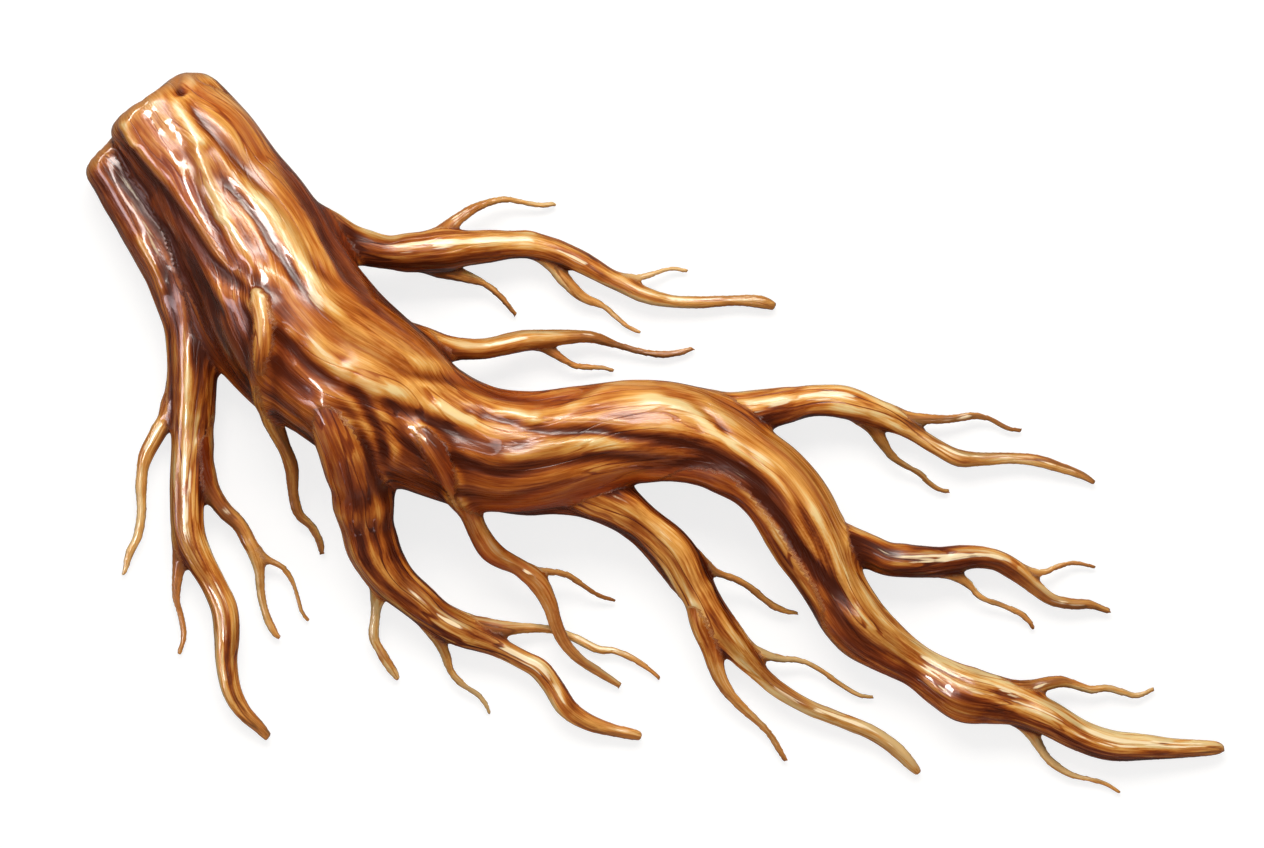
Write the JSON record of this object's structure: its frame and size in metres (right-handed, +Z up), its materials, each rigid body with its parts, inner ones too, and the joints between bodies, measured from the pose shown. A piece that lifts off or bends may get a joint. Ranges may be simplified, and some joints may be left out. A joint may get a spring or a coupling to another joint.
{
  "type": "branching root",
  "caption": "Glossy brown woody taproot with a cut crown, a second stem grown along it and winding side roots that end in fine rootlets.",
  "frame": {"origin": "below the middle of the bounding box, on the surface that the root lies on", "axes": "+X along the root from the cut crown to the taproot's tip, +Y towards the side with the back, far and right roots, +Z up"},
  "size_m": [0.3192, 0.1622, 0.0422],
  "materials": {
    "root_skin": "glossy washed bark, honey brown with darker flowing grain, paler at the rootlets' tips"
  },
  "bodies": {
    "root": {"root": "root_skin"}
  },
  "joints": []
}
